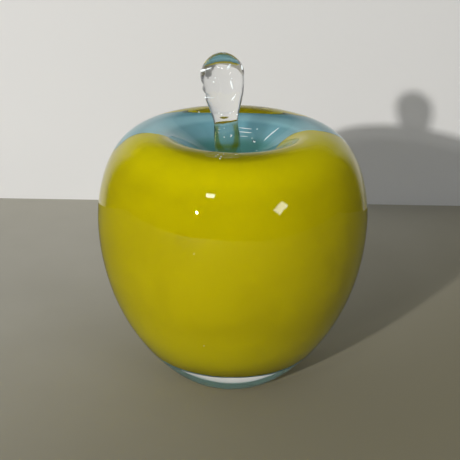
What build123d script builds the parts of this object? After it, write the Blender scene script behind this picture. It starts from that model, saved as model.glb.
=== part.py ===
"""Art glass apple: a solid paperweight of cased glass with a clear stem.

A clear starter gather carries an aqua coat and a lime overlay. The overlay is open over the
back of the crown and under the base, and a thick clear casing closes over it all. The casing
is shaped to a rounded lip and a dimple, and the stem is fused to the dimple's floor.
Millimetres, +Z up, origin at the centre of the flat foot. The lime front faces -Y.
"""
from build123d import *
import os
from math import cos, radians, sin

os.makedirs("parts", exist_ok=True)

# Clear casing: its outer skin, from the flat polished foot over the lip into the dimple
body_radius = 45.0
belly_height = 56.5
lip_radius = 25.6
lip_height = 87.0
dimple_floor_height = 75.6
foot_radius = 18.7
foot_edge_radius = 0.8
foot_wall_angle = 35.4
foot_pull_share = 0.45
side_pull_share = 0.535
shoulder_pull_share = 0.443
lip_outer_pull_share = 0.728
lip_inner_pull_share = 0.28
dimple_pull_share = 0.386

# Clear glass between that skin and the colour
side_cover = 4.5
lip_cover = 6.0
dimple_cover = 8.1
base_cover = 10.8
belly_drop = 2.5
lip_inset = 0.4

# The coloured body inside keeps its own, rounder curves
core_base_pull_share = 0.433
core_side_pull_share = 0.78
core_shoulder_pull_share = 0.5
core_lip_outer_pull_share = 0.647
core_lip_inner_pull_share = 0.18
core_dimple_pull_share = 0.39

# Coloured skin, lime and aqua side by side
colour_thickness = 1.5

# Crown opening of the lime, seen from above: to the right along its wavy front edge, which
# dips into the dimple, then back around the far shoulder, as shares of the body radius
crown_edge_shares = [
    (-0.775, 0.07),
    (-0.684, 0.03),
    (-0.595, -0.02),
    (-0.512, -0.09),
    (-0.435, -0.19),
    (-0.35, -0.29),
    (-0.22, -0.335),
    (-0.04, -0.345),
    (0.13, -0.325),
    (0.265, -0.24),
    (0.335, -0.10),
    (0.365, 0.05),
    (0.41, 0.12),
    (0.48, 0.14),
    (0.60, 0.10),
    (0.68, 0.13),
    (0.74, 0.21),
    (0.765, 0.32),
    (0.64, 0.44),
    (0.47, 0.497),
    (0.34, 0.593),
    (0.12, 0.665),
    (-0.12, 0.665),
    (-0.345, 0.60),
    (-0.43, 0.54),
    (-0.61, 0.45),
    (-0.76, 0.27),
]

# The crown opening is cut from this share of the coloured dimple floor's height
crown_window_base_share = 9 / 11

# Base opening of the lime, set towards the back
base_opening_half_width = 20.0
base_opening_half_depth = 19.5
base_opening_setback = 12.0

# Stem: a drawn rod, waisted above its root and gathered to a bulb, leaning to the left
stem_offset = 1.5
stem_lean = 4.6
stem_length = 36.3
root_end_radius = 2.4
root_radius = 4.3
root_swell_height = 8.0
neck_radius = 4.0
neck_height = 12.6
bulb_radius = 7.2
bulb_height = 28.8
root_sink = 1.5
root_pull_share = 0.7
root_end_pull_share = 0.6
neck_pull_share = 0.5
taper_pull_share = 0.27
bulb_lower_pull_share = 0.4
bulb_upper_pull_share = 0.5
tip_pull_share = 0.55

core_radius = body_radius - side_cover
core_belly_height = belly_height - belly_drop
core_lip_radius = lip_radius - lip_inset


def coloured_outline(inset):
    """Half outline of the coloured body, drawn in by inset, as a closed loop on the axis."""
    radius = core_radius - inset
    base = base_cover + inset
    lip = lip_height - lip_cover - inset
    floor = dimple_floor_height - dimple_cover - inset
    belly_rise = core_belly_height - base
    lip_rise = lip - core_belly_height
    Bezier(
        (0, base),
        (core_base_pull_share * radius, base),
        (radius, core_belly_height - core_side_pull_share * belly_rise),
        (radius, core_belly_height),
    )
    Bezier(
        (radius, core_belly_height),
        (radius, core_belly_height + core_shoulder_pull_share * lip_rise),
        (core_lip_radius + core_lip_outer_pull_share * (radius - core_lip_radius), lip),
        (core_lip_radius, lip),
    )
    Bezier(
        (core_lip_radius, lip),
        (core_lip_radius - core_lip_inner_pull_share * core_lip_radius, lip),
        (core_dimple_pull_share * core_lip_radius, floor),
        (0, floor),
    )
    Line((0, floor), (0, base))


# Clear starter gather at the heart of the apple
with BuildPart() as starter_gather:
    with BuildSketch(Plane.XZ):
        with BuildLine():
            coloured_outline(colour_thickness)
        make_face()
    revolve(axis=Axis.Z)

# Whole coloured body, as the casing closes over it
with BuildPart() as coloured_body:
    with BuildSketch(Plane.XZ):
        with BuildLine():
            coloured_outline(0)
        make_face()
    revolve(axis=Axis.Z)

with BuildPart() as colour_skin:
    add(coloured_body.part)
    add(starter_gather.part, mode=Mode.SUBTRACT)

# Prisms over the two openings of the lime
with BuildPart() as crown_window:
    coloured_dimple_floor = dimple_floor_height - dimple_cover - colour_thickness
    crown_window_base = crown_window_base_share * coloured_dimple_floor
    with BuildSketch(Plane.XY.offset(crown_window_base)):
        with BuildLine():
            Spline([(x * body_radius, y * body_radius) for x, y in crown_edge_shares], periodic=True)
        make_face()
    extrude(amount=lip_height - crown_window_base)

with BuildPart() as base_window:
    with BuildSketch():
        with Locations((0, base_opening_setback)):
            Ellipse(base_opening_half_width, base_opening_half_depth)
    extrude(amount=(base_cover + core_belly_height) / 2)

# Lime skin, open over the back of the crown and under the base
with BuildPart() as lime_skin:
    add(colour_skin.part)
    add(crown_window.part, mode=Mode.SUBTRACT)
    add(base_window.part, mode=Mode.SUBTRACT)

# Aqua patches, marvered flush with the lime in those openings
with BuildPart() as aqua_crown:
    add(colour_skin.part)
    add(crown_window.part, mode=Mode.INTERSECT)

with BuildPart() as aqua_base:
    add(colour_skin.part)
    add(base_window.part, mode=Mode.INTERSECT)

# Apple form of the clear casing, still solid
with BuildPart() as apple_form:
    with BuildSketch(Plane.XZ):
        with BuildLine():
            foot_pull = foot_pull_share * (body_radius - foot_radius)
            lip_rise = lip_height - belly_height
            Line((0, 0), (foot_radius, 0))
            Bezier(
                (foot_radius, 0),
                (
                    foot_radius + foot_pull * cos(radians(foot_wall_angle)),
                    foot_pull * sin(radians(foot_wall_angle)),
                ),
                (body_radius, belly_height - side_pull_share * belly_height),
                (body_radius, belly_height),
            )
            Bezier(
                (body_radius, belly_height),
                (body_radius, belly_height + shoulder_pull_share * lip_rise),
                (lip_radius + lip_outer_pull_share * (body_radius - lip_radius), lip_height),
                (lip_radius, lip_height),
            )
            Bezier(
                (lip_radius, lip_height),
                (lip_radius - lip_inner_pull_share * lip_radius, lip_height),
                (dimple_pull_share * lip_radius, dimple_floor_height),
                (0, dimple_floor_height),
            )
            Line((0, dimple_floor_height), (0, 0))
        make_face()
    revolve(axis=Axis.Z)
    foot_edge = apple_form.edges().filter_by(GeomType.CIRCLE).group_by(Axis.Z)[0]
    fillet(foot_edge, radius=foot_edge_radius)

# Casing: the apple form closed over the coloured body
with BuildPart() as clear_casing:
    add(apple_form.part)
    add(coloured_body.part, mode=Mode.SUBTRACT)

# Stem, turned about its own leaning axis and seated face to face on the dimple's floor
stem_foot = Plane(
    origin=(-stem_offset, 0, dimple_floor_height - root_sink),
    x_dir=(cos(radians(stem_lean)), 0, sin(radians(stem_lean))),
    z_dir=(0, -1, 0),
)
with BuildPart() as stem:
    with BuildSketch(stem_foot):
        with BuildLine():
            root_top = root_sink + root_swell_height
            neck_at = root_sink + neck_height
            bulb_at = root_sink + bulb_height
            tip_at = root_sink + stem_length
            Line((0, 0), (root_end_radius, 0))
            Bezier(
                (root_end_radius, 0),
                (root_end_radius + root_end_pull_share * (root_radius - root_end_radius), 0),
                (root_radius, root_top - root_pull_share * root_top),
                (root_radius, root_top),
            )
            Bezier(
                (root_radius, root_top),
                (root_radius, root_top + neck_pull_share * (neck_height - root_swell_height)),
                (neck_radius, neck_at - neck_pull_share * (neck_height - root_swell_height)),
                (neck_radius, neck_at),
            )
            Bezier(
                (neck_radius, neck_at),
                (neck_radius, neck_at + taper_pull_share * (bulb_height - neck_height)),
                (bulb_radius, bulb_at - bulb_lower_pull_share * (bulb_height - neck_height)),
                (bulb_radius, bulb_at),
            )
            Bezier(
                (bulb_radius, bulb_at),
                (bulb_radius, bulb_at + bulb_upper_pull_share * (stem_length - bulb_height)),
                (tip_pull_share * bulb_radius, tip_at),
                (0, tip_at),
            )
            Line((0, tip_at), (0, 0))
        make_face()
    revolve(axis=Axis(stem_foot.origin, stem_foot.y_dir))
    add(apple_form.part, mode=Mode.SUBTRACT)

starter_gather.part.label = "starter_gather"
export_step(starter_gather.part, "parts/starter_gather.step")
lime_skin.part.label = "lime_skin"
export_step(lime_skin.part, "parts/lime_skin.step")
aqua_crown.part.label = "aqua_crown"
export_step(aqua_crown.part, "parts/aqua_crown.step")
aqua_base.part.label = "aqua_base"
export_step(aqua_base.part, "parts/aqua_base.step")
clear_casing.part.label = "clear_casing"
export_step(clear_casing.part, "parts/clear_casing.step")
stem.part.label = "stem"
export_step(stem.part, "parts/stem.step")
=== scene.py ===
"""Looks of an art glass apple: lime and aqua glass cased in clear, with a clear stem.

Metres, +Z up, origin at the centre of the flat foot. The lime front faces -Y.
The sections follow the making: gather, colours, casing, stem, then the studio.
"""
import bpy
import numpy as np
from math import atan, cos, radians, sin, tan, tau
from mathutils import Matrix, Vector


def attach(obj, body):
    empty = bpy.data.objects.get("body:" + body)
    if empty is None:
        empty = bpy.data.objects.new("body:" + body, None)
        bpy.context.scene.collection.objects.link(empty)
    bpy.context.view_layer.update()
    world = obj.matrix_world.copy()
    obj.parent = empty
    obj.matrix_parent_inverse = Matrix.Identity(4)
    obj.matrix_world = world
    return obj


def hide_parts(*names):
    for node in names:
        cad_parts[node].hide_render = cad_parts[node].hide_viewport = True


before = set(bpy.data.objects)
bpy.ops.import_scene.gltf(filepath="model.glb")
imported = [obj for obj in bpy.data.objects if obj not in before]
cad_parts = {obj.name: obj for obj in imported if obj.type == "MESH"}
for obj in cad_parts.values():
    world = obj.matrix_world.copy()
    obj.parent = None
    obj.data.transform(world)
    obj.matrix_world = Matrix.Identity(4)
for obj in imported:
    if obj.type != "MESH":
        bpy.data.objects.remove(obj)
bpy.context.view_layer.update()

# Starter gather: the clear glass first taken from the furnace, at the heart of the apple.
# Soda-lime glass, gathered on the pipe and blocked round. The colours close over it, so
# nothing of it shows.
further_skin_share = 0.92


def put(tree, kind, inputs=None, **settings):
    """Add a node. An input is a plain value or another node's output."""
    made = tree.nodes.new(kind)
    for key, value in settings.items():
        setattr(made, key, value)
    for key, value in (inputs or {}).items():
        if isinstance(value, bpy.types.NodeSocket):
            tree.links.new(value, made.inputs[key])
        else:
            made.inputs[key].default_value = value
    return made


def glass(name, tint, streak_tint, streak_scale, lamp_share, ior=1.5):
    """Clear glass with faint cords in its tint. Lamp light passes the first skin of glass by
    lamp_share, and any further skin nearly whole."""
    material = bpy.data.materials.new(name)
    material.use_nodes = True
    tree = material.node_tree
    tree.nodes.clear()
    place = put(tree, "ShaderNodeTexCoord").outputs["Object"]
    streaks = put(
        tree, "ShaderNodeTexNoise",
        {"Vector": place, "Scale": streak_scale, "Detail": 3.0, "Distortion": 1.2},
    ).outputs["Fac"]
    tints = put(
        tree, "ShaderNodeMix",
        {"Factor": streaks, "A": (*tint, 1), "B": (*streak_tint, 1)},
        data_type="RGBA",
    ).outputs["Result"]
    clear = put(
        tree, "ShaderNodeBsdfPrincipled",
        {"Base Color": tints, "Roughness": 0.0, "IOR": ior, "Transmission Weight": 1.0},
    ).outputs["BSDF"]
    path = put(tree, "ShaderNodeLightPath").outputs
    crossed = path["Transparent Depth"]
    passed_share = put(
        tree, "ShaderNodeMapRange",
        {"Value": crossed, "To Min": lamp_share, "To Max": further_skin_share},
    ).outputs["Result"]
    through = put(tree, "ShaderNodeBsdfTransparent", {"Color": passed_share}).outputs["BSDF"]
    surface = put(
        tree, "ShaderNodeMixShader", {0: path["Is Shadow Ray"], 1: clear, 2: through}
    )
    put(tree, "ShaderNodeOutputMaterial", {"Surface": surface.outputs[0]})
    return material


gather_glass = glass("gather_glass", (0.99, 1.0, 0.995), (0.97, 0.99, 0.985), 30.0, 0.9)
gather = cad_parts["starter_gather"]
gather.data.materials.clear()
gather.data.materials.append(gather_glass)

# Colour skin: lime overlay and aqua patches, each 1.5 mm thick, over the gather. Opaque
# coloured glass rods, melted and marvered flush. The lime is open over the back of the
# crown and under the base, where the aqua shows.
body_radius = 0.045
side_cover = 0.0045
core_radius = body_radius - side_cover
core_base_height = 0.0108
core_belly_height = 0.054
core_lip_radius = 0.0252
core_lip_height = 0.081
core_dimple_height = 0.0675
colour_thickness = 0.0015
core_base_pull_share = 0.433
core_side_pull_share = 0.78
core_shoulder_pull_share = 0.5
core_lip_outer_pull_share = 0.647
core_lip_inner_pull_share = 0.18
core_dimple_pull_share = 0.39


def new_tree(name, sockets):
    """An empty geometry tree with named inputs. Gives the tree and its input sockets."""
    tree = bpy.data.node_groups.new(name, "GeometryNodeTree")
    tree.is_modifier = True
    tree.interface.new_socket("Geometry", in_out="INPUT", socket_type="NodeSocketGeometry")
    for label, kind in sockets:
        tree.interface.new_socket(label, in_out="INPUT", socket_type="NodeSocket" + kind)
    tree.interface.new_socket("Geometry", in_out="OUTPUT", socket_type="NodeSocketGeometry")
    return tree, tree.nodes.new("NodeGroupInput").outputs


def end_tree(tree, geometry, material, chosen=True):
    """Close a tree: real geometry only, what is chosen of it in this material."""
    real = put(tree, "GeometryNodeRealizeInstances", {"Geometry": geometry})
    done = put(
        tree, "GeometryNodeSetMaterial",
        {"Geometry": real.outputs[0], "Selection": chosen, "Material": material},
    )
    tree.links.new(done.outputs[0], tree.nodes.new("NodeGroupOutput").inputs[0])


def apply_trees(piece, tree, settings):
    """Run the tree once for each set of named inputs and keep the result as a plain mesh."""
    for values in settings:
        modifier = piece.modifiers.new(tree.name, "NODES")
        modifier.node_group = tree
        for item in tree.interface.items_tree:
            if item.in_out == "INPUT" and item.name in values:
                modifier[item.identifier] = values[item.name]
    evaluated = piece.evaluated_get(bpy.context.evaluated_depsgraph_get())
    mesh = bpy.data.meshes.new_from_object(evaluated)
    piece.modifiers.clear()
    piece.data = mesh


# One span of a turned form: a curve of four points, turned about the axis
span_names = ["Start", "Start Pull", "End Pull", "End"]
span_tree, given = new_tree(
    "turned_span",
    [(f"{point} {axis}", "Float") for point in span_names for axis in ("Radius", "Height")]
    + [("Rings", "Int"), ("Sides", "Int"), ("Glass", "Material")],
)
span_points = [
    put(
        span_tree, "ShaderNodeCombineXYZ",
        {"X": given[f"{point} Radius"], "Z": given[f"{point} Height"]},
    ).outputs[0]
    for point in span_names
]
outline = put(
    span_tree, "GeometryNodeCurvePrimitiveBezierSegment",
    {
        "Resolution": 256,
        "Start": span_points[0],
        "Start Handle": span_points[1],
        "End Handle": span_points[2],
        "End": span_points[3],
    },
    mode="POSITION",
)
ring_rows = put(
    span_tree, "ShaderNodeMath", {0: given["Rings"], 1: 1.0}, operation="ADD"
).outputs[0]
side_rows = put(
    span_tree, "ShaderNodeMath", {0: given["Sides"], 1: 1.0}, operation="ADD"
).outputs[0]
flat = put(
    span_tree, "GeometryNodeMeshGrid",
    {"Size X": 1.0, "Size Y": 1.0, "Vertices X": ring_rows, "Vertices Y": side_rows},
)
flat_place = put(
    span_tree, "ShaderNodeSeparateXYZ",
    {0: put(span_tree, "GeometryNodeInputPosition").outputs[0]},
)
along = put(
    span_tree, "ShaderNodeMath", {0: flat_place.outputs["X"], 1: 0.5}, operation="ADD"
).outputs[0]
turn = put(
    span_tree, "ShaderNodeMath", {0: flat_place.outputs["Y"], 1: -tau}, operation="MULTIPLY"
).outputs[0]
sampled = put(
    span_tree, "GeometryNodeSampleCurve",
    {"Curves": outline.outputs[0], "Factor": along},
    mode="FACTOR",
    use_all_curves=True,
)
turned_place = put(
    span_tree, "ShaderNodeVectorRotate",
    {"Vector": sampled.outputs["Position"], "Angle": turn},
    rotation_type="Z_AXIS",
)
wrapped = put(
    span_tree, "GeometryNodeSetPosition",
    {"Geometry": flat.outputs["Mesh"], "Position": turned_place.outputs[0]},
)
joined = put(span_tree, "GeometryNodeJoinGeometry")
span_tree.links.new(wrapped.outputs[0], joined.inputs[0])
span_tree.links.new(given["Geometry"], joined.inputs[0])
closed = put(
    span_tree, "GeometryNodeMergeByDistance", {"Geometry": joined.outputs[0], "Distance": 2e-6}
)
smooth = put(span_tree, "GeometryNodeSetShadeSmooth", {"Geometry": closed.outputs[0]})
end_tree(span_tree, smooth.outputs[0], given["Glass"])


def turned(name, spans, sides, material):
    """A turned piece from its half outline: four (radius, height) points and rings a span."""
    piece = bpy.data.objects.new(name, bpy.data.meshes.new(name))
    bpy.context.scene.collection.objects.link(piece)
    settings = []
    for *points, rings in spans:
        values = {"Rings": rings, "Sides": sides, "Glass": material}
        for label, (radius, height) in zip(span_names, points):
            values[f"{label} Radius"] = radius
            values[f"{label} Height"] = height
        settings.append(values)
    apply_trees(piece, span_tree, settings)
    return piece


def core_spans(inset, rings):
    """Half outline of the coloured body drawn in by inset, from its base into its dimple."""
    radius = core_radius - inset
    base = core_base_height + inset
    lip = core_lip_height - inset
    floor = core_dimple_height - inset
    return [
        (
            (0.0, base),
            (core_base_pull_share * radius, base),
            (radius, core_belly_height - core_side_pull_share * (core_belly_height - base)),
            (radius, core_belly_height),
            rings[0],
        ),
        (
            (radius, core_belly_height),
            (radius, core_belly_height + core_shoulder_pull_share * (lip - core_belly_height)),
            (core_lip_radius + core_lip_outer_pull_share * (radius - core_lip_radius), lip),
            (core_lip_radius, lip),
            rings[1],
        ),
        (
            (core_lip_radius, lip),
            (core_lip_radius * (1 - core_lip_inner_pull_share), lip),
            (core_dimple_pull_share * core_lip_radius, floor),
            (0.0, floor),
            rings[2],
        ),
    ]


def backwards(spans):
    """The same spans walked the other way, for the inside of a wall."""
    return [(d, c, b, a, rings) for a, b, c, d, rings in reversed(spans)]


def coloured_glass(name, colour, deep_colour, edge_colour, edge_width, cloud_scale):
    """Opaque coloured glass, cloudy in its depth, drawn thin and dark along its edge."""
    material = bpy.data.materials.new(name)
    material.use_nodes = True
    tree = material.node_tree
    surface = tree.nodes["Principled BSDF"]
    place = put(tree, "ShaderNodeTexCoord").outputs["Object"]
    clouds = put(
        tree, "ShaderNodeTexNoise",
        {"Vector": place, "Scale": cloud_scale, "Detail": 4.0, "Distortion": 0.8},
    ).outputs["Fac"]
    cloud_share = put(
        tree, "ShaderNodeMapRange",
        {"Value": clouds, "From Min": 0.35, "From Max": 0.75},
        interpolation_type="SMOOTHSTEP",
    ).outputs["Result"]
    body = put(
        tree, "ShaderNodeMix",
        {"Factor": cloud_share, "A": (*colour, 1), "B": (*deep_colour, 1)},
        data_type="RGBA",
    ).outputs["Result"]
    to_edge = put(
        tree, "ShaderNodeAttribute", attribute_name="edge_distance"
    ).outputs["Fac"]
    edge_share = put(
        tree, "ShaderNodeMapRange",
        {"Value": to_edge, "From Min": 0.0, "From Max": edge_width, "To Min": 1.0, "To Max": 0.0},
        interpolation_type="SMOOTHSTEP",
    ).outputs["Result"]
    edged = put(
        tree, "ShaderNodeMix",
        {"Factor": edge_share, "A": body, "B": (*edge_colour, 1)},
        data_type="RGBA",
    ).outputs["Result"]
    tree.links.new(edged, surface.inputs["Base Color"])
    surface.inputs["Roughness"].default_value = 1.0
    surface.inputs["Specular IOR Level"].default_value = 0.0
    return material


lime_glass = coloured_glass(
    "lime_glass", (0.68, 0.59, 0.0), (0.62, 0.535, 0.0), (0.40, 0.38, 0.01), 0.0005, 45.0
)
aqua_glass = coloured_glass(
    "aqua_glass", (0.30, 0.62, 0.74), (0.24, 0.54, 0.66), (0.20, 0.22, 0.04), 0.0007, 60.0
)
# Painted light and shade: both colours are lighter over the lip and towards the base, where
# more light falls, and the aqua is darker on the dimple's floor, where the lip's shade falls.
# Each row: the height where a tone starts, the height where it is full, and the tone.
lime_painted_light_tones = (
    (0.036, 0.014, (0.97, 0.86, 0.0)),
    (0.073, 0.081, (0.83, 0.735, 0.0)),
)
aqua_painted_light_tones = (
    (0.0777, 0.0748, (0.14, 0.41, 0.42)),
    (0.0802, 0.0810, (0.41, 0.76, 0.88)),
    (0.050, 0.040, (0.50, 0.93, 0.96)),
)
# Each colour is mixed by height towards its painted lighter or darker tones
for colour_look, tones in ((lime_glass, lime_painted_light_tones), (aqua_glass, aqua_painted_light_tones)):
    colour_tree = colour_look.node_tree
    colour_socket = colour_tree.nodes["Principled BSDF"].inputs["Base Color"]
    tone = colour_socket.links[0].from_socket
    rise = put(
        colour_tree, "ShaderNodeSeparateXYZ",
        {0: put(colour_tree, "ShaderNodeTexCoord").outputs["Object"]},
    ).outputs["Z"]
    for full_from, full_at, new_tone in tones:
        tone_share = put(
            colour_tree, "ShaderNodeMapRange",
            {"Value": rise, "From Min": full_from, "From Max": full_at},
            interpolation_type="SMOOTHSTEP",
        ).outputs["Result"]
        tone = put(
            colour_tree, "ShaderNodeMix",
            {"Factor": tone_share, "A": tone, "B": (*new_tone, 1)},
            data_type="RGBA",
        ).outputs["Result"]
    colour_tree.links.new(tone, colour_socket)

core_skin = turned(
    "colour_skin",
    core_spans(0.0, (72, 56, 56)) + backwards(core_spans(colour_thickness, (36, 28, 28))),
    256,
    lime_glass,
)

# The wavy edge of the crown opening, seen from above: to the right along its front, which
# dips into the dimple, then back around the far shoulder
crown_edge = [
    (-0.03487, 0.00315),
    (-0.03078, 0.00135),
    (-0.02677, -0.00090),
    (-0.02304, -0.00405),
    (-0.01957, -0.00855),
    (-0.01575, -0.01305),
    (-0.00990, -0.01507),
    (-0.00180, -0.01552),
    (0.00585, -0.01462),
    (0.01192, -0.01080),
    (0.01507, -0.00450),
    (0.01642, 0.00225),
    (0.01845, 0.00540),
    (0.02160, 0.00630),
    (0.02700, 0.00450),
    (0.03060, 0.00585),
    (0.03330, 0.00945),
    (0.03442, 0.01440),
    (0.02880, 0.01980),
    (0.02115, 0.02236),
    (0.01530, 0.02668),
    (0.00540, 0.02993),
    (-0.00540, 0.02993),
    (-0.01552, 0.02700),
    (-0.01935, 0.02430),
    (-0.02745, 0.02025),
    (-0.03420, 0.01215),
]
edge_steps = 10
window_clearance = 0.006
base_opening = (0.0200, 0.0195)
base_opening_setback = 0.0120
base_opening_sides = 160


def rounded(points, steps):
    """A closed smooth curve through the points."""
    corners = np.array(points)
    share = np.linspace(0, 1, steps, endpoint=False)[:, None]
    runs = []
    for k in range(len(corners)):
        before, start, end, after = (corners[(k + step) % len(corners)] for step in (-1, 0, 1, 2))
        runs.append(
            start
            + 0.5 * share * (end - before)
            + share**2 * (before - 2.5 * start + 2 * end - 0.5 * after)
            + share**3 * (-0.5 * before + 1.5 * start - 1.5 * end + 0.5 * after)
        )
    return np.vstack(runs)


def prism(name, edge, low, high):
    """An upright prism over a closed edge."""
    count = len(edge)
    points = [(*p, z) for z in (low, high) for p in edge]
    walls = [(k, (k + 1) % count, (k + 1) % count + count, k + count) for k in range(count)]
    mesh = bpy.data.meshes.new(name)
    mesh.from_pydata(points, [], walls + [range(count - 1, -1, -1), range(count, 2 * count)])
    made = bpy.data.objects.new(name, mesh)
    bpy.context.scene.collection.objects.link(made)
    return made


crown_line = rounded(crown_edge, edge_steps)
angles = np.arange(base_opening_sides) * tau / base_opening_sides
base_line = np.column_stack(
    [base_opening[0] * np.cos(angles), base_opening_setback + base_opening[1] * np.sin(angles)]
)
crown_window = prism(
    "crown_window", crown_line, core_belly_height, core_lip_height + window_clearance
)
base_window = prism("base_window", base_line, 0.0, (core_base_height + core_belly_height) / 2)


def cut(name, whole, cutters, material):
    """Part of the colour skin: each (window, operation) is applied in turn, and each point
    keeps its distance to the nearest edge of a window."""
    piece = whole.copy()
    piece.data = whole.data.copy()
    piece.name = name
    bpy.context.scene.collection.objects.link(piece)
    for window, operation in cutters:
        modifier = piece.modifiers.new(operation, "BOOLEAN")
        modifier.operation = operation
        modifier.object = window
        modifier.solver = "MANIFOLD"
    evaluated = piece.evaluated_get(bpy.context.evaluated_depsgraph_get())
    mesh = bpy.data.meshes.new_from_object(evaluated)
    piece.modifiers.clear()
    piece.data = mesh
    mesh.materials.clear()
    mesh.materials.append(material)
    places = np.zeros(len(mesh.vertices) * 3)
    mesh.vertices.foreach_get("co", places)
    places = places.reshape(-1, 3)
    nearest = np.full(len(places), 1.0)
    for line, over in ((crown_line, True), (base_line, False)):
        near = (places[:, 2] > core_belly_height) == over
        starts, ends = line, np.roll(line, -1, axis=0)
        for start, end in zip(starts, ends):
            run = end - start
            share = np.clip(((places[near, :2] - start) @ run) / (run @ run), 0, 1)
            gap = np.linalg.norm(places[near, :2] - start - share[:, None] * run, axis=1)
            nearest[near] = np.minimum(nearest[near], gap)
    mesh.attributes.new("edge_distance", "FLOAT", "POINT").data.foreach_set("value", nearest)
    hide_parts(name)
    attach(piece, "root")
    return piece


# The plain solids give up their names to the finished pieces
for dressed in ("lime_skin", "aqua_crown", "aqua_base", "clear_casing", "stem"):
    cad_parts[dressed].name = dressed + "_cad"
lime_skin = cut(
    "lime_skin", core_skin, [(crown_window, "DIFFERENCE"), (base_window, "DIFFERENCE")], lime_glass
)
aqua_crown = cut("aqua_crown", core_skin, [(crown_window, "INTERSECT")], aqua_glass)
aqua_base = cut("aqua_base", core_skin, [(base_window, "INTERSECT")], aqua_glass)
for tool in (core_skin, crown_window, base_window):
    bpy.data.objects.remove(tool)

# Clear casing: the thick outer gather, closed over the colours and shaped in a wet block
# to the apple's form. Its lip is rounded and rolled into a dimple with a jack, and its
# foot is ground and polished flat.
belly_height = 0.0565
lip_radius = 0.0256
lip_height = 0.087
dimple_floor_height = 0.0756
foot_radius = 0.0187
foot_edge_radius = 0.0008
foot_wall_angle = radians(35.4)
foot_pull_share = 0.45
side_pull_share = 0.535
shoulder_pull_share = 0.443
lip_outer_pull_share = 0.728
lip_inner_pull_share = 0.28
dimple_pull_share = 0.386
foot_edge_pull_share = 0.55
casing_glass = glass("casing_glass", (1.0, 1.0, 1.0), (0.985, 0.995, 0.99), 25.0, 0.11)

foot_pull = foot_pull_share * (body_radius - foot_radius)
shoulder_rise = lip_height - belly_height
wall_run = Vector((cos(foot_wall_angle), sin(foot_wall_angle)))
foot_setback = foot_edge_radius * tan(foot_wall_angle / 2)
foot_corner = Vector((foot_radius, 0.0))
foot_flat_end = foot_corner - Vector((foot_setback, 0.0))
foot_wall_start = foot_corner + foot_setback * wall_run
casing_spans = [
    ((0.0, 0.0), tuple(foot_flat_end / 3), tuple(foot_flat_end * 2 / 3), tuple(foot_flat_end), 12),
    (
        tuple(foot_flat_end),
        tuple(foot_flat_end.lerp(foot_corner, foot_edge_pull_share)),
        tuple(foot_wall_start.lerp(foot_corner, foot_edge_pull_share)),
        tuple(foot_wall_start),
        6,
    ),
    (
        tuple(foot_wall_start),
        tuple(foot_corner + foot_pull * wall_run),
        (body_radius, belly_height * (1 - side_pull_share)),
        (body_radius, belly_height),
        88,
    ),
    (
        (body_radius, belly_height),
        (body_radius, belly_height + shoulder_pull_share * shoulder_rise),
        (lip_radius + lip_outer_pull_share * (body_radius - lip_radius), lip_height),
        (lip_radius, lip_height),
        64,
    ),
    (
        (lip_radius, lip_height),
        (lip_radius * (1 - lip_inner_pull_share), lip_height),
        (dimple_pull_share * lip_radius, dimple_floor_height),
        (0.0, dimple_floor_height),
        72,
    ),
]
casing = turned("clear_casing", casing_spans, 256, casing_glass)

# A hand-blocked surface is never quite true: it wavers inward by a hair, but not at the foot
waver_tree, given = new_tree(
    "handmade_waver",
    [("Depth", "Float"), ("Waves", "Float"), ("Still Below", "Float"), ("Full Above", "Float")]
    + [("Glass", "Material")],
)
surface_place = put(waver_tree, "GeometryNodeInputPosition").outputs[0]
waves = put(
    waver_tree, "ShaderNodeTexNoise",
    {"Vector": surface_place, "Scale": given["Waves"], "Detail": 1.0},
).outputs["Fac"]
up = put(waver_tree, "ShaderNodeSeparateXYZ", {0: surface_place}).outputs["Z"]
loose = put(
    waver_tree, "ShaderNodeMapRange",
    {"Value": up, "From Min": given["Still Below"], "From Max": given["Full Above"]},
    interpolation_type="SMOOTHSTEP",
).outputs["Result"]
hollow = put(waver_tree, "ShaderNodeMath", {0: waves, 1: loose}, operation="MULTIPLY").outputs[0]
depth = put(
    waver_tree, "ShaderNodeMath", {0: given["Depth"], 1: -1.0}, operation="MULTIPLY"
).outputs[0]
inward = put(waver_tree, "ShaderNodeMath", {0: hollow, 1: depth}, operation="MULTIPLY").outputs[0]
sink = put(
    waver_tree, "ShaderNodeVectorMath",
    {0: put(waver_tree, "GeometryNodeInputNormal").outputs[0], "Scale": inward},
    operation="SCALE",
).outputs[0]
wavered = put(
    waver_tree, "GeometryNodeSetPosition", {"Geometry": given["Geometry"], "Offset": sink}
)
end_tree(waver_tree, wavered.outputs[0], given["Glass"])
apply_trees(
    casing,
    waver_tree,
    [
        {
            "Depth": 0.00018,
            "Waves": 75.0,
            "Still Below": 0.0005,
            "Full Above": 0.008,
            "Glass": casing_glass,
        }
    ],
)

# Seeds: air bubbles caught in clear glass, and pale beads and streaks that glow faintly:
# painted glints and highlights, where bubbles and tool marks would catch the lamps.
seed_tree, given = new_tree(
    "seed_bubbles",
    [("Seeds", "Object"), ("Fineness", "Int"), ("Glass", "Material"), ("Glint Bead", "Material")],
)
seed_points = put(seed_tree, "GeometryNodeObjectInfo", {"Object": given["Seeds"]})
ball = put(
    seed_tree, "GeometryNodeMeshIcoSphere", {"Radius": 1.0, "Subdivisions": given["Fineness"]}
)
air_side = put(seed_tree, "GeometryNodeFlipFaces", {"Mesh": ball.outputs["Mesh"]})
round_air = put(seed_tree, "GeometryNodeSetShadeSmooth", {"Geometry": air_side.outputs[0]})
half_size = put(
    seed_tree, "GeometryNodeInputNamedAttribute", {"Name": "half_size"}, data_type="FLOAT_VECTOR"
).outputs["Attribute"]
lie = put(
    seed_tree, "GeometryNodeInputNamedAttribute", {"Name": "lie"}, data_type="FLOAT_VECTOR"
).outputs["Attribute"]
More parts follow.
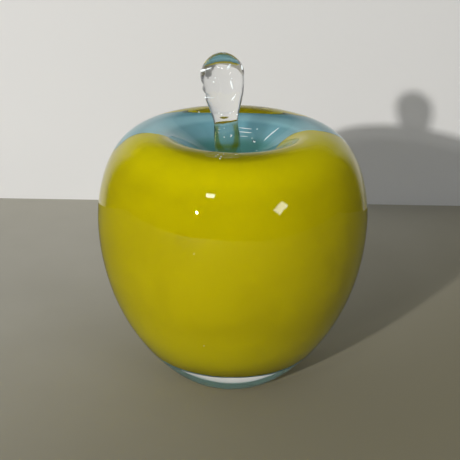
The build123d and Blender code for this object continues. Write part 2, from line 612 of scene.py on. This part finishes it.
seeds_placed = put(
    seed_tree, "GeometryNodeInstanceOnPoints",
    {
        "Points": seed_points.outputs["Geometry"],
        "Instance": round_air.outputs[0],
        "Rotation": put(seed_tree, "FunctionNodeEulerToRotation", {0: lie}).outputs[0],
        "Scale": half_size,
    },
)
with_seeds = put(seed_tree, "GeometryNodeJoinGeometry")
seed_tree.links.new(seeds_placed.outputs[0], with_seeds.inputs[0])
seed_tree.links.new(given["Geometry"], with_seeds.inputs[0])
pale = put(
    seed_tree, "GeometryNodeInputNamedAttribute", {"Name": "pale"}, data_type="BOOLEAN"
).outputs["Attribute"]
all_glass = put(
    seed_tree, "GeometryNodeSetMaterial",
    {"Geometry": with_seeds.outputs[0], "Material": given["Glass"]},
)
end_tree(seed_tree, all_glass.outputs[0], given["Glint Bead"], pale)


def plain(name, colour, fleck_colour, scale):
    """Plain matt surface with faint flecks."""
    material = bpy.data.materials.new(name)
    material.use_nodes = True
    tree = material.node_tree
    surface = tree.nodes["Principled BSDF"]
    place = put(tree, "ShaderNodeTexCoord").outputs["Object"]
    flecks = put(
        tree, "ShaderNodeTexNoise", {"Vector": place, "Scale": scale, "Detail": 6.0}
    ).outputs["Fac"]
    colours = put(
        tree, "ShaderNodeMix",
        {"Factor": flecks, "A": (*colour, 1), "B": (*fleck_colour, 1)},
        data_type="RGBA",
    ).outputs["Result"]
    tree.links.new(colours, surface.inputs["Base Color"])
    surface.inputs["Roughness"].default_value = 0.9
    surface.inputs["Specular IOR Level"].default_value = 0.1
    return material


def add_seeds(piece, material, air, glint_beads, streaks):
    """Bubbles in a piece: dark-rimmed air by place and radius, and glowing painted glints:
    pale beads by place and radius, pale streaks by ends and radius."""
    places, sizes, turns = [], [], []
    for place, radius in air + glint_beads:
        places.append(place)
        sizes.append((radius,) * 3)
        turns.append((0.0, 0.0, 0.0))
    for start, end, radius in streaks:
        run = Vector(end) - Vector(start)
        places.append((Vector(start) + Vector(end)) / 2)
        sizes.append((radius, radius, run.length / 2))
        turns.append(tuple(run.to_track_quat("Z", "Y").to_euler()))
    mesh = bpy.data.meshes.new("seeds")
    mesh.from_pydata(places, [], [])
    for label, values in (("half_size", sizes), ("lie", turns)):
        attribute = mesh.attributes.new(label, "FLOAT_VECTOR", "POINT")
        attribute.data.foreach_set("vector", np.ravel(values))
    pales = [k >= len(air) for k in range(len(places))]
    mesh.attributes.new("pale", "BOOLEAN", "POINT").data.foreach_set("value", pales)
    points = bpy.data.objects.new("seeds", mesh)
    bpy.context.scene.collection.objects.link(points)
    looks = {"Glass": material, "Glint Bead": glint_bead_look}
    apply_trees(piece, seed_tree, [{"Seeds": points, "Fineness": 3, **looks}])
    bpy.data.objects.remove(points)


# Painted glint: the beads and streaks glow faintly of themselves, as glints of the lamps would
glint_bead_look = plain("seed_gleam", (0.86, 0.90, 0.90), (0.66, 0.72, 0.74), 900.0)
gleam = glint_bead_look.node_tree.nodes["Principled BSDF"].inputs
gleam["Emission Color"].default_value = (0.88, 0.96, 1.0, 1)
gleam["Emission Strength"].default_value = 0.45
add_seeds(
    casing,
    casing_glass,
    air=[((0.00701, 0.01187, 0.07802), 0.00055)],
    glint_beads=[
        ((0.00817, 0.01645, 0.08085), 0.00026),
        ((0.00735, 0.01100, 0.07815), 0.00036),
        ((0.00649, 0.01355, 0.07850), 0.00020),
        ((0.00838, 0.00704, 0.07578), 0.00020),
        ((0.00690, 0.01128, 0.07830), 0.00024),
        ((-0.00472, -0.02338, 0.08345), 0.00016),
        ((-0.00377, -0.02481, 0.08369), 0.00018),
        ((-0.00308, -0.02274, 0.08312), 0.00014),
        ((-0.00403, -0.02640, 0.08413), 0.00020),
        ((-0.00526, -0.02403, 0.08327), 0.00015),
        ((-0.01261, 0.02322, 0.08339), 0.00024),
        ((-0.01109, -0.04191, 0.06122), 0.00012),
        ((-0.00811, -0.03690, 0.02787), 0.00012),
    ],
    streaks=[
        ((0.00172, 0.01741, 0.08130), (0.00629, 0.01616, 0.08120), 0.00018),
        ((0.00174, 0.01597, 0.08033), (0.00632, 0.01475, 0.08032), 0.00020),
        ((0.00212, 0.01433, 0.07923), (0.00494, 0.01376, 0.07933), 0.00012),
        ((0.01097, 0.01034, 0.07930), (0.01565, 0.01259, 0.08266), 0.00024),
        ((0.01048, 0.00973, 0.07876), (0.01398, 0.01203, 0.08163), 0.00019),
    ],
)
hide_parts("clear_casing")
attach(casing, "root")

# Stem: a clear rod drawn from the furnace, waisted by the jacks and gathered to a bulb,
# leaning a little to the left. Fused to the floor of the dimple while both were hot.
stem_offset = 0.0015
stem_lean = radians(4.6)
stem_length = 0.0363
root_end_radius = 0.0024
root_radius = 0.0043
root_swell_height = 0.008
neck_radius = 0.004
neck_height = 0.0126
bulb_radius = 0.0072
bulb_height = 0.0288
root_sink = 0.0015
root_pull_share = 0.7
root_end_pull_share = 0.6
neck_pull_share = 0.5
taper_pull_share = 0.27
bulb_lower_pull_share = 0.4
bulb_upper_pull_share = 0.5
tip_pull_share = 0.55
seat_gap = 0.00001
stem_glass = glass("stem_glass", (1.0, 1.0, 1.0), (0.985, 0.995, 0.995), 80.0, 0.15)

# Painted refraction: olive bands on both flanks of the root, round a clear oval, stand in
# for the lime seen bent through the rod's edges. Each end is where the bands are gone and
# where they are full, in half sizes of that oval.
clear_oval_centre = (-0.00248, 0.0, 0.0862)
clear_oval_half = (0.0026, 1.0, 0.0052)
painted_refraction_tint = (0.92, 0.58, 0.10)
inner_rim = (0.82, 1.12)
outer_rim = (1.80, 1.50)
upper_end = (0.75, 0.35)
lower_end = (-1.45, -1.15)
stem_tree = stem_glass.node_tree
on_oval = put(
    stem_tree, "ShaderNodeMapping",
    {
        "Vector": put(stem_tree, "ShaderNodeTexCoord").outputs["Object"],
        "Location": clear_oval_centre,
        "Rotation": (0.0, -stem_lean, 0.0),
        "Scale": clear_oval_half,
    },
    vector_type="TEXTURE",
).outputs[0]
off_oval = put(
    stem_tree, "ShaderNodeVectorMath", {0: on_oval}, operation="LENGTH"
).outputs["Value"]
root_rise = put(stem_tree, "ShaderNodeSeparateXYZ", {0: on_oval}).outputs["Z"]
painted_refraction_share = 1.0
for value, (gone_at, full_at) in (
    (off_oval, inner_rim),
    (off_oval, outer_rim),
    (root_rise, upper_end),
    (root_rise, lower_end),
):
    ramp = put(
        stem_tree, "ShaderNodeMapRange",
        {"Value": value, "From Min": gone_at, "From Max": full_at},
        interpolation_type="SMOOTHSTEP",
    ).outputs["Result"]
    painted_refraction_share = put(
        stem_tree, "ShaderNodeMath", {0: painted_refraction_share, 1: ramp}, operation="MULTIPLY"
    ).outputs[0]
stem_surface = stem_tree.nodes["Principled BSDF"]
# The stem's tint turns olive where the painted refraction lies
painted_refraction_tinted = put(
    stem_tree, "ShaderNodeMix",
    {
        "Factor": painted_refraction_share,
        "A": stem_surface.inputs["Base Color"].links[0].from_socket,
        "B": (*painted_refraction_tint, 1),
    },
    data_type="RGBA",
).outputs["Result"]
stem_tree.links.new(painted_refraction_tinted, stem_surface.inputs["Base Color"])

root_top = root_sink + root_swell_height
neck_at = root_sink + neck_height
bulb_at = root_sink + bulb_height
tip_at = root_sink + stem_length
root_run = neck_pull_share * (neck_height - root_swell_height)
stem_spans = [
    (
        (0.0, 0.0),
        (root_end_radius / 3, 0.0),
        (root_end_radius * 2 / 3, 0.0),
        (root_end_radius, 0.0),
        8,
    ),
    (
        (root_end_radius, 0.0),
        (root_end_radius + root_end_pull_share * (root_radius - root_end_radius), 0.0),
        (root_radius, root_top * (1 - root_pull_share)),
        (root_radius, root_top),
        60,
    ),
    (
        (root_radius, root_top),
        (root_radius, root_top + root_run),
        (neck_radius, neck_at - root_run),
        (neck_radius, neck_at),
        24,
    ),
    (
        (neck_radius, neck_at),
        (neck_radius, neck_at + taper_pull_share * (bulb_height - neck_height)),
        (bulb_radius, bulb_at - bulb_lower_pull_share * (bulb_height - neck_height)),
        (bulb_radius, bulb_at),
        84,
    ),
    (
        (bulb_radius, bulb_at),
        (bulb_radius, bulb_at + bulb_upper_pull_share * (stem_length - bulb_height)),
        (tip_pull_share * bulb_radius, tip_at),
        (0.0, tip_at),
        60,
    ),
]
stem = turned("stem", stem_spans, 192, stem_glass)

# Marks of the jacks and shears, pressed in while the stem was soft: height along it,
# direction round it in degrees, depth, half height, half width in degrees
tool_marks = [
    (0.0279, 180, 0.00050, 0.0009, 36),
    (0.0249, 182, 0.00065, 0.0008, 40),
    (0.0328, 215, 0.00045, 0.0013, 32),
    (0.0284, 290, 0.00045, 0.0026, 18),
    (0.0238, 298, 0.00035, 0.0015, 16),
    (0.0325, 340, 0.00035, 0.0020, 14),
    (0.0330, 262, 0.00035, 0.0018, 12),
    (0.0290, 355, 0.00035, 0.0024, 16),
    (0.0186, 262, 0.00030, 0.0009, 44),
]
least_lever = 0.002


def vertex_places(piece):
    """Every vertex of a piece, a row each."""
    places = np.zeros(len(piece.data.vertices) * 3)
    piece.data.vertices.foreach_get("co", places)
    return places.reshape(-1, 3)


def move_vertices(piece, places):
    """Put the vertices of a piece at new places."""
    piece.data.vertices.foreach_set("co", places.ravel())
    piece.data.update()


soft = vertex_places(stem)
bearing = np.degrees(np.arctan2(soft[:, 1], soft[:, 0]))
squeeze = np.ones(len(soft))
for height, direction, mark_depth, half_height, half_width in tool_marks:
    off_side = (bearing - direction + 180) % 360 - 180
    off_height = soft[:, 2] - height
    reach = np.exp(-((off_side / half_width) ** 2) - (off_height / half_height) ** 2)
    lever = np.maximum(np.hypot(soft[:, 0], soft[:, 1]), least_lever)
    squeeze -= mark_depth * reach / lever
soft[:, :2] *= squeeze[:, None]
move_vertices(stem, soft)
apply_trees(
    stem,
    waver_tree,
    [
        {
            "Depth": 0.00022,
            "Waves": 210.0,
            "Still Below": 0.008,
            "Full Above": 0.014,
            "Glass": stem_glass,
        }
    ],
)
stem_stands = Matrix.Translation((-stem_offset, 0.0, dimple_floor_height - root_sink))
stem_stands = stem_stands @ Matrix.Rotation(-stem_lean, 4, "Y")
stem.data.transform(stem_stands)


def sampled_outline(spans, steps=300):
    """Radii and heights along a half outline."""
    share = np.linspace(0, 1, steps)[:, None]
    rest = 1 - share
    weights = (rest**3, 3 * rest**2 * share, 3 * rest * share**2, share**3)
    runs = [sum(w * np.array(p) for w, p in zip(weights, points)) for *points, _ in spans]
    return np.vstack(runs).T


# The joint: the stem's foot follows the dimple's floor, and the faces that touch hardly bend
# light, because the two are one glass there
dimple_radii, dimple_heights = sampled_outline(casing_spans[-1:])
fused = vertex_places(stem)
from_axis = np.hypot(fused[:, 0], fused[:, 1])
seat = np.interp(from_axis, dimple_radii[::-1], dimple_heights[::-1]) + seat_gap
seated = fused[:, 2] <= seat
fused[:, 2] = np.maximum(fused[:, 2], seat)
move_vertices(stem, fused)

casing_places = vertex_places(casing)
on_stem = (casing_places - np.array(stem_stands.translation)) @ np.array(stem_stands.to_3x3())
stem_radii, stem_heights = sampled_outline(stem_spans)
covered = np.hypot(on_stem[:, 0], on_stem[:, 1]) < np.interp(
    on_stem[:, 2], stem_heights, stem_radii
)
covered &= (on_stem[:, 2] > 0) & (casing_places[:, 2] > dimple_floor_height - seat_gap)
joint_glass = glass("fused_joint", (1.0, 1.0, 1.0), (0.99, 1.0, 0.995), 80.0, 0.11, ior=1.0005)
for piece, touching in ((stem, seated), (casing, covered)):
    piece.data.materials.append(joint_glass)
    for face in piece.data.polygons:
        if all(touching[corner] for corner in face.vertices):
            face.material_index = 1

add_seeds(
    stem,
    stem_glass,
    air=[],
    glint_beads=[
        ((-0.00144, -0.00300, 0.10450), 0.00016),
        ((-0.00615, -0.00640, 0.10518), 0.00018),
        ((-0.00658, -0.00630, 0.10388), 0.00027),
        ((-0.00489, -0.00436, 0.09331), 0.00017),
        ((-0.00409, -0.00443, 0.09285), 0.00024),
        ((-0.00139, -0.00435, 0.09337), 0.00018),
        ((0.00085, -0.00229, 0.09230), 0.00026),
        ((-0.00925, -0.00226, 0.09775), 0.00030),
        ((-0.00312, -0.00280, 0.08795), 0.00014),
        ((-0.00305, -0.00280, 0.08493), 0.00018),
        ((-0.00097, -0.00280, 0.08547), 0.00022),
    ],
    streaks=[
        ((-0.00075, -0.00330, 0.08590), (-0.00120, -0.00300, 0.08500), 0.00018),
        ((-0.01092, -0.00030, 0.10575), (-0.00930, -0.00340, 0.10700), 0.00040),
        ((-0.00911, -0.00365, 0.10714), (-0.00721, -0.00470, 0.10800), 0.00022),
        ((-0.00147, -0.00420, 0.10910), (-0.00252, -0.00570, 0.10776), 0.00032),
        ((0.00192, -0.00064, 0.10810), (0.00230, -0.00200, 0.10676), 0.00026),
        ((-0.00140, -0.00625, 0.10450), (-0.00060, -0.00595, 0.10150), 0.00026),
        ((0.00022, -0.00500, 0.09930), (-0.00097, -0.00535, 0.09776), 0.00020),
        ((-0.00900, -0.00250, 0.09778), (-0.00640, -0.00560, 0.09870), 0.00016),
    ],
)
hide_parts("stem")
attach(stem, "root")

# Studio: a pale floor that meets a pale wall close behind the apple. The wall stands only
# where the photograph shows it, and fades out above and to the sides, for the light's sake.
wall_distance = 0.156
floor_size = 3.0
wall_height = 0.235
wall_middle = -0.02
wall_half_width = 0.24
wall_fades_from = 0.095
wall_gone_at = 0.225
sides_fade_from = 0.14
sides_gone_at = 0.235


def sheet_mesh(name, corners, material):
    """A flat part of the studio."""
    mesh = bpy.data.meshes.new(name)
    mesh.from_pydata(corners, [], [range(len(corners))])
    mesh.materials.append(material)
    made = bpy.data.objects.new(name, mesh)
    bpy.context.scene.collection.objects.link(made)
    return made


half = floor_size / 2
floor_material = plain("floor_plaster", (0.47, 0.455, 0.40), (0.40, 0.385, 0.33), 30.0)
wall_material = plain("wall_paint", (0.765, 0.77, 0.78), (0.73, 0.735, 0.745), 4.0)

# Painted shade: the plaster is darker and browner towards the front right, where less lamp
# light falls, and dark where glass mirrors it
shade_starts = 0.20
shade_full = -0.12
painted_shade_colour = (0.218, 0.202, 0.140)
mirrored_floor_colour = (0.14, 0.137, 0.12)
floor_tree = floor_material.node_tree
floor_place = put(
    floor_tree, "ShaderNodeSeparateXYZ",
    {0: put(floor_tree, "ShaderNodeTexCoord").outputs["Object"]},
).outputs
to_the_back = put(
    floor_tree, "ShaderNodeMath", {0: floor_place["Y"], 1: floor_place["X"]}, operation="SUBTRACT"
).outputs[0]
painted_shade_share = put(
    floor_tree, "ShaderNodeMapRange",
    {
        "Value": to_the_back,
        "From Min": shade_full,
        "From Max": shade_starts,
        "To Min": 1.0,
        "To Max": 0.0,
    },
    interpolation_type="SMOOTHSTEP",
).outputs["Result"]
floor_surface = floor_tree.nodes["Principled BSDF"]
floor_tone = put(
    floor_tree, "ShaderNodeMix",
    {
        "Factor": painted_shade_share,
        "A": floor_surface.inputs["Base Color"].links[0].from_socket,
        "B": (*painted_shade_colour, 1),
    },
    data_type="RGBA",
).outputs["Result"]
floor_ray = put(floor_tree, "ShaderNodeLightPath").outputs
floor_mirrored = put(
    floor_tree, "ShaderNodeMath",
    {0: floor_ray["Is Glossy Ray"], 1: floor_ray["Is Transmission Ray"]},
    operation="SUBTRACT",
    use_clamp=True,
).outputs[0]
floor_seen = put(
    floor_tree, "ShaderNodeMix",
    {"Factor": floor_mirrored, "A": floor_tone, "B": (*mirrored_floor_colour, 1)},
    data_type="RGBA",
).outputs["Result"]
floor_tree.links.new(floor_seen, floor_surface.inputs["Base Color"])
sheet_mesh(
    "floor",
    [(-half, -half, 0), (half, -half, 0), (half, wall_distance, 0), (-half, wall_distance, 0)],
    floor_material,
)

# The wall is open from behind and where it fades
wall_tree = wall_material.node_tree
painted = wall_tree.nodes["Principled BSDF"].outputs["BSDF"]
from_behind = put(wall_tree, "ShaderNodeNewGeometry").outputs["Backfacing"]
open_side = put(wall_tree, "ShaderNodeBsdfTransparent").outputs["BSDF"]
wall_place = put(
    wall_tree, "ShaderNodeSeparateXYZ",
    {0: put(wall_tree, "ShaderNodeTexCoord").outputs["Object"]},
).outputs
sideways = put(
    wall_tree, "ShaderNodeMath", {0: wall_place["X"], 1: wall_middle}, operation="SUBTRACT"
).outputs[0]
off_middle = put(wall_tree, "ShaderNodeMath", {0: sideways}, operation="ABSOLUTE").outputs[0]
gone = from_behind
for value, fades_from, gone_at in (
    (wall_place["Z"], wall_fades_from, wall_gone_at),
    (off_middle, sides_fade_from, sides_gone_at),
):
    faded = put(
        wall_tree, "ShaderNodeMapRange",
        {"Value": value, "From Min": fades_from, "From Max": gone_at},
        interpolation_type="SMOOTHSTEP",
    ).outputs["Result"]
    gone = put(wall_tree, "ShaderNodeMath", {0: gone, 1: faded}, operation="MAXIMUM").outputs[0]
one_sided = put(wall_tree, "ShaderNodeMixShader", {0: gone, 1: painted, 2: open_side})
wall_output = wall_tree.nodes["Material Output"]
wall_tree.links.new(one_sided.outputs[0], wall_output.inputs["Surface"])
sheet_mesh(
    "wall",
    [
        (wall_middle - wall_half_width, wall_distance, 0),
        (wall_middle + wall_half_width, wall_distance, 0),
        (wall_middle + wall_half_width, wall_distance, wall_height),
        (wall_middle - wall_half_width, wall_distance, wall_height),
    ],
    wall_material,
)

# Lamps, by the directions in which their highlights show on the glass
lamp_target = Vector((0.0, 0.0, 0.05))


def lamp(name, direction, distance, size, watts, colour, roll=0.0):
    """A flat lamp that faces the middle of the apple."""
    light = bpy.data.lights.new(name, "AREA")
    light.shape = "RECTANGLE"
    light.size, light.size_y = size
    light.energy = watts
    light.color = colour
    made = bpy.data.objects.new(name, light)
    bpy.context.scene.collection.objects.link(made)
    away = Vector(direction).normalized()
    made.location = lamp_target + distance * away
    facing = (-away).to_track_quat("-Z", "Y").to_matrix()
    made.rotation_euler = (facing @ Matrix.Rotation(roll, 3, "Z")).to_euler()
    return made


key_direction = (-0.478, -0.818, 0.319)
key_colour = (1.0, 0.97, 0.92)
key = lamp("key", key_direction, 1.6, (0.045, 0.045), 20.0, key_colour)
key.visible_transmission = False
lamp("key_glow", key_direction, 1.59, (0.05, 0.05), 0.2, key_colour)
lamp("window", (-0.296, -0.687, 0.664), 1.448, (0.17, 0.14), 1.0, (0.95, 0.98, 1.0))
lamp("side", (0.616, -0.684, 0.390), 1.445, (0.30, 0.17), 1.4, (1.0, 0.98, 0.95), radians(35))

# The room: dim at the sides and pale above, and darker still where glass mirrors it. The
# camera sees a plain pale backdrop instead.
room_colour = (0.122, 0.126, 0.13)
ceiling_colour = (0.41, 0.418, 0.425)
mirrored_colour = (0.03, 0.032, 0.034)
backdrop_colour = (0.62, 0.615, 0.60)
ceiling_from = 0.2
ceiling_full = 0.9
world = bpy.data.worlds.new("room")
bpy.context.scene.world = world
world.use_nodes = True
world_tree = world.node_tree
room_light = world_tree.nodes["Background"]
ray_kind = put(world_tree, "ShaderNodeLightPath").outputs
seen = ray_kind["Is Camera Ray"]
glossy = ray_kind["Is Glossy Ray"]
passed = ray_kind["Is Transmission Ray"]
mirrored = put(
    world_tree, "ShaderNodeMath", {0: glossy, 1: passed}, operation="SUBTRACT", use_clamp=True
).outputs[0]
toward = put(
    world_tree, "ShaderNodeSeparateXYZ",
    {0: put(world_tree, "ShaderNodeTexCoord").outputs["Generated"]},
)
upward = put(
    world_tree, "ShaderNodeMapRange",
    {"Value": toward.outputs["Z"], "From Min": ceiling_from, "From Max": ceiling_full},
    interpolation_type="SMOOTHSTEP",
).outputs["Result"]
room = put(
    world_tree, "ShaderNodeMix",
    {"Factor": upward, "A": (*room_colour, 1), "B": (*ceiling_colour, 1)},
    data_type="RGBA",
).outputs["Result"]
dimmed = put(
    world_tree, "ShaderNodeMix",
    {"Factor": mirrored, "A": room, "B": (*mirrored_colour, 1)},
    data_type="RGBA",
).outputs["Result"]
shade = put(
    world_tree, "ShaderNodeMix",
    {"Factor": seen, "A": dimmed, "B": (*backdrop_colour, 1)},
    data_type="RGBA",
).outputs["Result"]
world_tree.links.new(shade, room_light.inputs["Color"])

# Camera: above the apple's lip, looking a little down on it, as the photograph was taken
eye_distance = 0.3408
eye_elevation = radians(24.0)
look_height = 0.045
picture_size = 460
focal_pixels = 1000
look_pixel = (232.4, 246.5)
eye_roll = radians(0.97)

camera_data = bpy.data.cameras.new("camera")
camera_data.sensor_width = 36
camera_data.lens = focal_pixels / picture_size * camera_data.sensor_width
camera = bpy.data.objects.new("camera", camera_data)
bpy.context.scene.collection.objects.link(camera)
look_at = Vector((0.0, 0.0, look_height))
eye = look_at + eye_distance * Vector((0.0, -cos(eye_elevation), sin(eye_elevation)))
aim = (look_at - eye).to_track_quat("-Z", "Y").to_matrix().to_4x4()
yaw, pitch = (atan((pixel - picture_size / 2) / focal_pixels) for pixel in look_pixel)
camera.matrix_world = (
    Matrix.Translation(eye)
    @ aim
    @ Matrix.Rotation(yaw, 4, "Y")
    @ Matrix.Rotation(pitch, 4, "X")
    @ Matrix.Rotation(eye_roll, 4, "Z")
)
bpy.context.scene.camera = camera
bpy.context.scene.view_settings.view_transform = "Standard"
